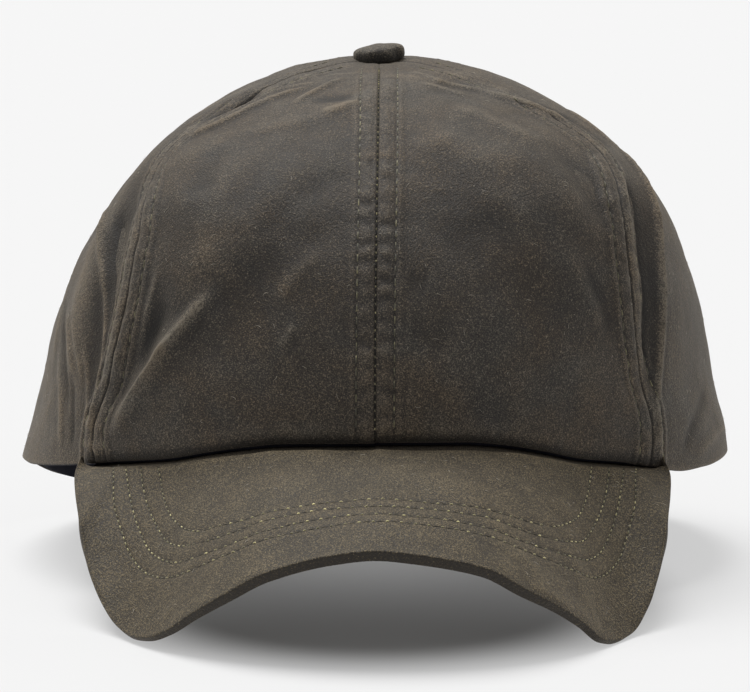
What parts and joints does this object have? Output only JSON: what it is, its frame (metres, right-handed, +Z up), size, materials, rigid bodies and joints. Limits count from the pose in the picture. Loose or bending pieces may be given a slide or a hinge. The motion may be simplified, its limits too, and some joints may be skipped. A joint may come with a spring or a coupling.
{
  "type": "waxed cap",
  "caption": "Soft waxed-cotton cap with panelled crown, cloth-covered top button, strongly curved stitched peak and an inner sweatband, resting on its peak and hem.",
  "frame": {"origin": "under the middle of the whole cap, at the level of the surface that it rests on", "axes": "+Z up, the cap's front and peak towards -Y, its right side as seen from the front towards +X"},
  "size_m": [0.1862, 0.2588, 0.1343],
  "materials": {
    "waxed_crown": "dark olive-brown waxed cotton with a dull sheen and a fine pale bloom on its creases",
    "waxed_peak": "olive-brown waxed cotton over a stiff board, with olive-yellow topstitching",
    "sweatband_cloth": "plain matt dark navy cloth"
  },
  "bodies": {
    "root": {"front_panel_left": "waxed_crown", "front_panel_right": "waxed_crown", "side_panel_left": "waxed_crown", "side_panel_right": "waxed_crown", "back_panel_left": "waxed_crown", "back_panel_right": "waxed_crown", "top_button": "waxed_crown", "peak_cover": "waxed_peak", "peak_under": "waxed_peak", "sweatband": "sweatband_cloth"}
  },
  "joints": []
}
